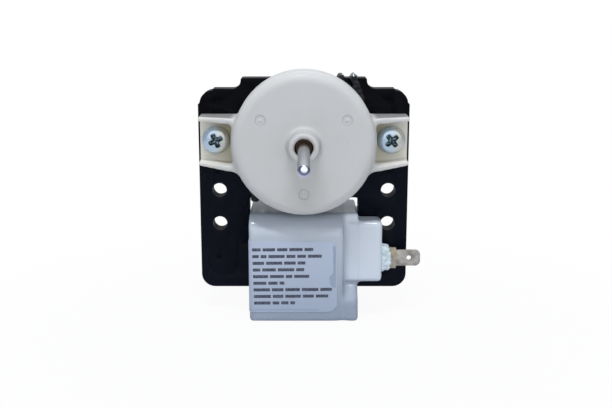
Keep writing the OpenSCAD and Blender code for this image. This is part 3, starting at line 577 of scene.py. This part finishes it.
def join_flat_faces(bm):
    bmesh.ops.dissolve_limit(bm, angle_limit=math.radians(0.4), verts=bm.verts, edges=bm.edges)


def cad_bmesh(node):
    """A CAD node's own surface, welded, with its flat faces joined up."""
    bm = bmesh.new()
    bm.from_mesh(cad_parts[node].data)
    weld(bm)
    join_flat_faces(bm)
    return bm


def cad_piece(node, name, material, body):
    """A new piece with a CAD node's surface, without the layers that fix its shading."""
    return clean_piece(name, cad_bmesh(node), material, body)


def clean_piece(name, bm, material, body):
    piece = link_mesh(name, bm, material, body)
    layers = piece.data.attributes
    for layer in ("custom_normal", "sharp_edge", "sharp_face"):
        if layer in layers:
            layers.remove(layers[layer])
    return piece


def loft(bm, rows):
    """Faces between closed rows of points, each row joined to the next."""
    for a, b in zip(rows, rows[1:]):
        for k in range(len(a)):
            bm.faces.new((a[k - 1], a[k], b[k], b[k - 1]))


def prism(bm, front, back):
    bm.faces.new(front)
    bm.faces.new(back[::-1])
    loft(bm, (front, back))


def add_bevel(piece, width, segments, angle):
    bevel = piece.modifiers.new("edges", "BEVEL")
    bevel.width = width * MM
    bevel.segments = segments
    bevel.limit_method = "ANGLE"
    bevel.angle_limit = math.radians(angle)
    bevel.use_clamp_overlap = False
    return bevel


def add_remesh(piece, voxel):
    remesh = piece.modifiers.new("voxels", "REMESH")
    remesh.mode = "VOXEL"
    remesh.voxel_size = voxel * MM


def add_smooth(piece, rounds):
    smooth = piece.modifiers.new("smooth", "SMOOTH")
    smooth.factor = 0.5
    smooth.iterations = rounds
    return smooth


def bake_modifiers(piece, sharp_angle):
    """Applies a piece's modifiers and smooths all but its sharp edges."""
    graph = bpy.context.evaluated_depsgraph_get()
    mesh = bpy.data.meshes.new_from_object(piece.evaluated_get(graph))
    old = piece.data
    piece.modifiers.clear()
    piece.data = mesh
    bpy.data.meshes.remove(old)
    mesh.shade_smooth()
    mesh.set_sharp_from_angle(angle=math.radians(sharp_angle))


def dressed(node, name, material, body, width, segments=2):
    """A CAD node's surface with its sharp edges rounded off by width mm."""
    piece = cad_piece(node, name, material, body)
    add_bevel(piece, width, segments, 35).miter_outer = "MITER_ARC"
    bake_modifiers(piece, 40)
    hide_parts(node)
    return piece


def softened(node, name, material, body, voxel, rounds, ratio=1.0, melt=None, melt_rounds=0):
    """A CAD node's surface as a soft moulding: remeshed finely, then smoothed. melt gives a
    place in mm a weight from 0 to 1 for melt_rounds more rounds. ratio is the share of faces
    that is kept."""
    piece = cad_piece(node, name, material, body)
    add_remesh(piece, voxel)
    if melt:
        bake_modifiers(piece, 60)
        group = piece.vertex_groups.new(name="melt")
        for v in piece.data.vertices:
            weight = melt(v.co / MM)
            if weight > 0:
                group.add([v.index], min(weight, 1), "REPLACE")
        add_smooth(piece, melt_rounds).vertex_group = "melt"
    add_smooth(piece, rounds)
    if ratio < 1:
        piece.modifiers.new("thin", "DECIMATE").ratio = ratio
    bake_modifiers(piece, 60)
    piece.vertex_groups.clear()
    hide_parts(node)
    return piece


def ear_root(place):
    """Melts the front bracket's hub a little, and the ears' rims where they meet the dome."""
    far = math.hypot(place.x, place.z)
    if far < 7 and place.y < 7:
        return 0.45
    on_rim = abs(place.x) > 17 and abs(place.z) < 9 and 7.2 < place.y < 13.5
    return 2 * (1 - abs(far - EAR_ROOT_R) / 2.2) if on_rim else 0


def cover_edges(place):
    """Melts the side of the cover's raised faces and the ramps under the boxes."""
    depth = min(abs(place.y - COVER_FRONT_Y), abs(place.y - COVER_REAR_Y))
    from_step = abs(place.x - STEP_X)
    if from_step < 2.2 and depth < 5.5:
        return 0.7 * (1 - from_step / 2.2)
    return 1 if place.x > 10.5 and -49 < place.z < BOX_FOOT_Z and depth < 6 else 0


def ring_end(place):
    """Melts the parts of a shading ring that stand above the core's edge."""
    return (place.z - RING_EDGE_Z) * 1.2


def crown_top(piece, from_z, drop):
    """Rounds a ring's top over from left to right, above from_z. The lower rings have none."""
    top = [v for v in piece.data.vertices if v.co.z > from_z * MM]
    if not top:
        return
    low, high = min(v.co.x for v in top), max(v.co.x for v in top)
    for v in top:
        side = (2 * v.co.x - low - high) / (high - low)
        v.co.z -= drop * side ** 2 * (v.co.z - from_z * MM)
    piece.data.update()


def roughen(piece, size, depth, seed):
    """Moves a mesh's points by smooth noise along their normals."""
    for v in piece.data.vertices:
        place = v.co / (size * MM) + Vector((seed, seed, seed))
        v.co += v.normal * noise.noise(place) * depth * MM
    piece.data.update()


def taper(piece, centre_z, share):
    """Narrows a lump towards its outer end, by share of its height there."""
    xs = [v.co.x for v in piece.data.vertices]
    low, high = min(xs), max(xs)
    for v in piece.data.vertices:
        t = (v.co.x - low) / (high - low)
        v.co.z = centre_z * MM + (v.co.z - centre_z * MM) * (1 - share * t)
    piece.data.update()


# The screws

# How far each recess is turned from the CAD's, by the sign of the screw's x, and where the
# worn blades that widen it stand, in degrees
RECESS_TURNS = {-1: 37, 1: 16}
BLADE_TURNS = {-1: -25, 1: -40}
# The blades' turn on top of that, and half their width and thickness in mm
BLADES = ((0, 2.25, 0.72), (90, 2.25, 0.72), (45, 1.25, 1.25))


def tapered_blade(bm, x, top_y, turn, half, thick):
    """A driver's blade that narrows as it goes in, for cutting a screw's recess."""
    ends = ((top_y - 0.3, half, thick), (top_y + 1.9, half * 0.4, thick * 0.6))
    spin = Matrix.Rotation(math.radians(turn), 3, "Y")
    rows = []
    for y, a, b in ends:
        foot = Vector((x, y, 0))
        rows.append([bm.verts.new((spin @ Vector((cx, 0, cz)) + foot) * MM)
                     for cx, cz in ((-a, -b), (a, -b), (a, b), (-a, b))])
    prism(bm, *rows)


def worn_screws(material, screw_x, head_y):
    """The screws with domed heads, and with their recesses turned and worn wider."""
    bm = cad_bmesh("bracket_screws")
    for side, turn in RECESS_TURNS.items():
        own = [v for v in bm.verts if v.co.x * side > 0]
        bmesh.ops.rotate(bm, verts=own, cent=(side * screw_x * MM, 0, 0),
                         matrix=Matrix.Rotation(math.radians(turn), 3, "Y"))
    piece = clean_piece("screws_plated", bm, material, BODY)
    cutters = []
    for quarter, half, thick in BLADES:
        blades = bmesh.new()
        for side, turn in BLADE_TURNS.items():
            tapered_blade(blades, side * screw_x, head_y, turn + quarter, half, thick)
        bmesh.ops.recalc_face_normals(blades, faces=blades.faces)
        cutters.append(link_object("blades", mesh_from("blades", blades)))
        cut = piece.modifiers.new("cut", "BOOLEAN")
        cut.operation = "DIFFERENCE"
        cut.object = cutters[-1]
    add_remesh(piece, 0.13)
    add_smooth(piece, 4)
    bake_modifiers(piece, 60)
    head_back_y = head_y + 2.4
    for v in piece.data.vertices:
        if v.co.y < head_back_y * MM:
            far = math.hypot(abs(v.co.x) / MM - screw_x, v.co.z / MM) / SCREW_HEAD_R
            v.co.y += (0.55 * far ** 3 - 0.35) * MM
    for cutter in cutters:
        bpy.data.objects.remove(cutter)
    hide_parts("bracket_screws")
    return piece


# The core's sheets

SHEETS = 11
SHEET_SHIFT = 0.035
SHEET_SLIT = 0.05


def flat_region(node, y):
    """The faces of a node that lie in the plane at depth y."""
    bm = bmesh.new()
    bm.from_mesh(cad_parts[node].data)
    weld(bm)
    away = [f for f in bm.faces if any(abs(v.co.y - y) > 0.01 * MM for v in f.verts)]
    bmesh.ops.delete(bm, geom=away, context="FACES")
    join_flat_faces(bm)
    return bm


def stack_of_sheets(node, name, material):
    """A laminated part as its separate sheets, each a hair out of line with the first."""
    low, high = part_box(node)
    pitch = (high.y - low.y) / SHEETS
    chance = random.Random(7)
    stack = bmesh.new()
    for i in range(SHEETS):
        region = flat_region(node, low.y if i == 0 else high.y)
        start = low.y + i * pitch
        thick = pitch - (SHEET_SLIT * MM if i < SHEETS - 1 else 0)
        dx = chance.uniform(0, 1) * SHEET_SHIFT * MM if i else 0
        dz = chance.uniform(-1, 0) * SHEET_SHIFT * MM if i else 0
        for v in region.verts:
            v.co = Vector((v.co.x + dx, start, v.co.z + dz))
        grown = bmesh.ops.extrude_face_region(region, geom=region.faces[:])
        for v in [g for g in grown["geom"] if isinstance(g, bmesh.types.BMVert)]:
            v.co.y += thick
        bmesh.ops.recalc_face_normals(region, faces=region.faces)
        sheet = mesh_from("sheet", region)
        stack.from_mesh(sheet)
        bpy.data.meshes.remove(sheet)
    piece = clean_piece(name, stack, material, BODY)
    add_bevel(piece, 0.06, 2, 50)
    bake_modifiers(piece, 40)
    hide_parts(node)
    return piece


# Printing on the label, in mm

ROW_WIDTHS = (17.4, 19.8, 15.1, 14.7, 16.1, 8.9, 22.5, 21.4, 11.8)
ROW_PITCH = 1.985
ROW_LEFT = 1.1
ROW_TOP = 2.95
ROW_SHIFT = 0.05
ROW_TILT = 0.008
BAR_H = 0.92
BAR_W = (1.6, 5.2)
BAR_GAP = 0.55


def label_print(material):
    """Rows of plain dark bars in place of the label's lettering."""
    low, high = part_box("rating_label")
    chance = random.Random(3)
    bm = bmesh.new()
    y = low.y - 0.012 * MM
    left = low.x + ROW_LEFT * MM
    top = high.z - ROW_TOP * MM
    for row, width in enumerate(ROW_WIDTHS):
        z = top - row * ROW_PITCH * MM
        x = left + row * ROW_SHIFT * MM
        end = x + width * MM
        while x < end - 1.2 * MM:
            bar = min(chance.uniform(*BAR_W) * MM, end - x)
            foot = z + (x - left) * ROW_TILT
            tilt = bar * ROW_TILT
            corners = ((x, foot), (x + bar, foot + tilt),
                       (x + bar, foot + tilt + BAR_H * MM), (x, foot + BAR_H * MM))
            prism(bm, [bm.verts.new((cx, y, cz)) for cx, cz in corners],
                  [bm.verts.new((cx, low.y + 0.004 * MM, cz)) for cx, cz in corners])
            x += bar + BAR_GAP * MM
    bmesh.ops.recalc_face_normals(bm, faces=bm.faces)
    piece = link_mesh("label_print", bm, material, BODY)
    piece.modifiers.new("corners", "BEVEL").width = 0.006 * MM
    bake_modifiers(piece, 30)
    return piece


def ground_shaft(material):
    """The shaft with a crowned front tip and its ring groove."""
    low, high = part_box("shaft")
    r = (high.x - low.x) / 2
    crown = 0.70 * MM
    chamfer = 0.5 * MM
    groove_r = r - 0.28 * MM
    groove_front, groove_back = 0.7 * MM, 1.5 * MM
    profile = [(r * math.sin(math.radians(a)), low.y + crown * (1 - math.cos(math.radians(a))))
               for a in range(6, 91, 6)]
    profile += [(r, groove_front), (groove_r, groove_front)]
    profile += [(groove_r, groove_back), (r, groove_back)]
    profile += [(r, high.y - chamfer), (r - chamfer, high.y)]
    steps = 72
    turns = [math.tau * k / steps for k in range(steps)]
    bm = bmesh.new()
    rows = [[bm.verts.new((x * math.cos(turn), y, x * math.sin(turn))) for turn in turns]
            for x, y in profile]
    tip = bm.verts.new((0, low.y, 0))
    for k in range(steps):
        bm.faces.new((rows[0][k], rows[0][k - 1], tip))
    loft(bm, rows)
    bm.faces.new(rows[-1])
    bmesh.ops.recalc_face_normals(bm, faces=bm.faces)
    piece = link_mesh("shaft_ground", bm, material, ROTOR)
    piece.data.shade_smooth()
    piece.data.set_sharp_from_angle(angle=math.radians(35))
    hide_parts("shaft")
    return piece


def weld_stub(material):
    """Lump of metal left where the outer ring's ends were welded."""
    low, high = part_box("shading_ring_upper_outer")
    foot = Vector((14.3 * MM, low.y + 1.6 * MM, high.z - 0.5 * MM))
    height = 1.1 * MM
    radius = 1.05 * MM
    lean = 0.35 * MM
    rings = 7
    steps = 20
    bm = bmesh.new()
    rows = []
    for i in range(rings):
        t = i / (rings - 1)
        r = radius * (1 - t ** 1.6) * (1 - 0.25 * t) + 0.1 * MM
        turns = [math.tau * k / steps for k in range(steps)]
        rows.append([bm.verts.new(foot + Vector((r * math.cos(turn) - lean * t,
                                                 r * 1.5 * math.sin(turn), height * t)))
                     for turn in turns])
    loft(bm, rows)
    bm.faces.new(rows[0][::-1])
    bm.faces.new(rows[-1])
    bmesh.ops.recalc_face_normals(bm, faces=bm.faces)
    piece = link_mesh("weld_stub", bm, material, BODY)
    piece.modifiers.new("finer", "SUBSURF").levels = 1
    bake_modifiers(piece, 60)
    roughen(piece, 0.6, 0.16, 5)
    return piece


# Floor and light

FLOOR_HALF = 3.0


def make_floor():
    """A pale floor that the camera sees as white, with the object's shadow near it."""
    z = cad_low.z
    bm = bmesh.new()
    bm.faces.new([bm.verts.new((x, y, z)) for x, y in (
        (-FLOOR_HALF, -FLOOR_HALF), (FLOOR_HALF, -FLOOR_HALF),
        (FLOOR_HALF, FLOOR_HALF), (-FLOOR_HALF, FLOOR_HALF))])
    s = Surface("floor", (0.66, 0.67, 0.69), 0.9)
    s.set("Specular IOR Level", 0.1)
    glow = s.add("ShaderNodeEmission")
    glow.inputs["Color"].default_value = (1, 1, 1, 1)
    white = s.spread(s.distance(s.axis("X"), s.axis("Y")), 40, 160, 0.93, 1.0)
    share = s.times(s.add("ShaderNodeLightPath").outputs["Is Camera Ray"], white)
    both = s.add("ShaderNodeMixShader")
    links = s.tree.links
    links.new(share, both.inputs["Fac"])
    links.new(s.shader.outputs["BSDF"], both.inputs[1])
    links.new(glow.outputs["Emission"], both.inputs[2])
    links.new(both.outputs["Shader"], s.tree.nodes["Material Output"].inputs["Surface"])
    mesh = mesh_from("floor", bm)
    mesh.materials.append(s.material)
    floor = link_object("floor", mesh)


def make_world():
    """Soft light from all sides, which the camera sees as white."""
    world = bpy.data.worlds.new("studio")
    world.use_nodes = True
    nodes, links = world.node_tree.nodes, world.node_tree.links
    sky = nodes["Background"]
    sky.inputs["Color"].default_value = (0.93, 0.96, 1.0, 1)
    sky.inputs["Strength"].default_value = 0.42
    seen = nodes.new("ShaderNodeBackground")
    seen.inputs["Color"].default_value = (1, 1, 1, 1)
    seen.inputs["Strength"].default_value = 1.0
    rays = nodes.new("ShaderNodeLightPath")
    mix = nodes.new("ShaderNodeMixShader")
    links.new(rays.outputs["Is Camera Ray"], mix.inputs["Fac"])
    links.new(sky.outputs["Background"], mix.inputs[1])
    links.new(seen.outputs["Background"], mix.inputs[2])
    links.new(mix.outputs["Shader"], nodes["World Output"].inputs["Surface"])
    scene.world = world


def area_light(name, place, size, energy, colour=(1, 1, 1)):
    """A rectangle of light that faces the motor's middle."""
    middle = Vector((0, 0.01, -0.01))
    data = bpy.data.lights.new(name, "AREA")
    data.shape = "RECTANGLE"
    data.size, data.size_y = size
    data.energy = energy
    data.color = colour
    lamp = link_object(name, data)
    lamp.location = place
    lamp.rotation_euler = (middle - Vector(place)).to_track_quat("-Z", "Y").to_euler()


def make_lights():
    area_light("key", (-0.02, -0.135, 0.45), (0.20, 0.03), 1.65, (0.95, 0.97, 1.0))
    area_light("front", (0.06, -0.95, 0.32), (1.20, 0.90), 3.6, (0.97, 0.98, 1.0))
    area_light("back", (0.0, 0.42, 0.34), (0.50, 0.25), 0.7)


# The motor

make_camera()
make_world()
make_lights()
make_floor()

label_low, label_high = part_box("rating_label")
film = label_film(label_high.x / MM, label_low.z / MM, label_high.z / MM)
core_black = lacquer()
ring_black = ring_lacquer()
cream = nylon()
gloss = white_gloss()
tin = tinned()
seal = compound()
screw_low, screw_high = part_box("bracket_screws")
screw_x = (screw_high.x - screw_low.x) / 2 / MM - SCREW_HEAD_R
head_y = screw_low.y / MM
plated = zinc(head_y, screw_x)
spring = plain_metal("spring_steel", (0.52, 0.53, 0.55), (0.40, 0.41, 0.43), 0.3, 0.3)
cast = plain_metal("cast_aluminium", (0.60, 0.61, 0.62), (0.46, 0.47, 0.48), 0.45, 0.5)
sheet_steel = plain_metal("sheet_steel", (0.26, 0.26, 0.28), (0.14, 0.13, 0.13), 0.45, 0.4)

stack_of_sheets("stator_core", "core_sheets", core_black)
stack_of_sheets("coil_bar", "bar_sheets", core_black)

for place in ("upper_outer", "upper_inner", "lower_outer", "lower_inner"):
    node = "shading_ring_" + place
    ring = softened(node, node + "_lacquered", ring_black, BODY, 0.20, 3,
                    melt=ring_end, melt_rounds=60)
    crown_top(ring, RING_EDGE_Z + 0.4, 0.75)
    roughen(ring, 1.3, 0.45, len(place))
weld_stub(weld_metal())

softened("coil_cover", "cover_moulding", gloss, BODY, 0.36, 8, 0.6,
         melt=cover_edges, melt_rounds=70)
for end in ("front", "rear"):
    lump = softened("terminal_seal_" + end, "seal_lump_" + end, seal, BODY, 0.16, 24)
    lump_low, lump_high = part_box("terminal_seal_" + end)
    taper(lump, (lump_low.z + lump_high.z) / 2 / MM + 0.6, 0.30)
    roughen(lump, 0.9, 0.45, len(end))
    dressed("terminal_" + end, "tab_" + end, tin, BODY, 0.12)
softened("front_bracket", "front_moulding", cream, BODY, 0.31, 3, melt=ear_root, melt_rounds=60)
softened("rear_bracket", "rear_moulding", cream, BODY, 0.33, 3)
dressed("rating_label", "label_sheet", film, BODY, 0.03, segments=1)
label_print(print_ink())
worn_screws(plated, screw_x, head_y)
dressed("bracket_nuts", "nuts_plated", plated, BODY, 0.12)
ground_shaft(ground_steel(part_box("shaft")[0].y / MM))

# The inner CAD solids keep their own meshes and get these materials
INNER = {
    bronze(): ("front_bearing", "rear_bearing"),
    spring: ("front_bearing_retainer", "rear_bearing_retainer", "front_felt_cap", "rear_felt_cap"),
    felt_wool(): ("front_oil_felt", "rear_oil_felt"),
    enamelled_copper(): ("winding",),
    pale_plastic(): ("bobbin", "front_thrust_washer", "rear_thrust_washer"),
    sheet_steel: ("rotor_core",),
    cast: ("rotor_cage", "front_spacer", "rear_spacer"),
}
for material, names in INNER.items():
    for name in names:
        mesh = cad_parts[name].data
        mesh.materials.clear()
        mesh.materials.append(material)
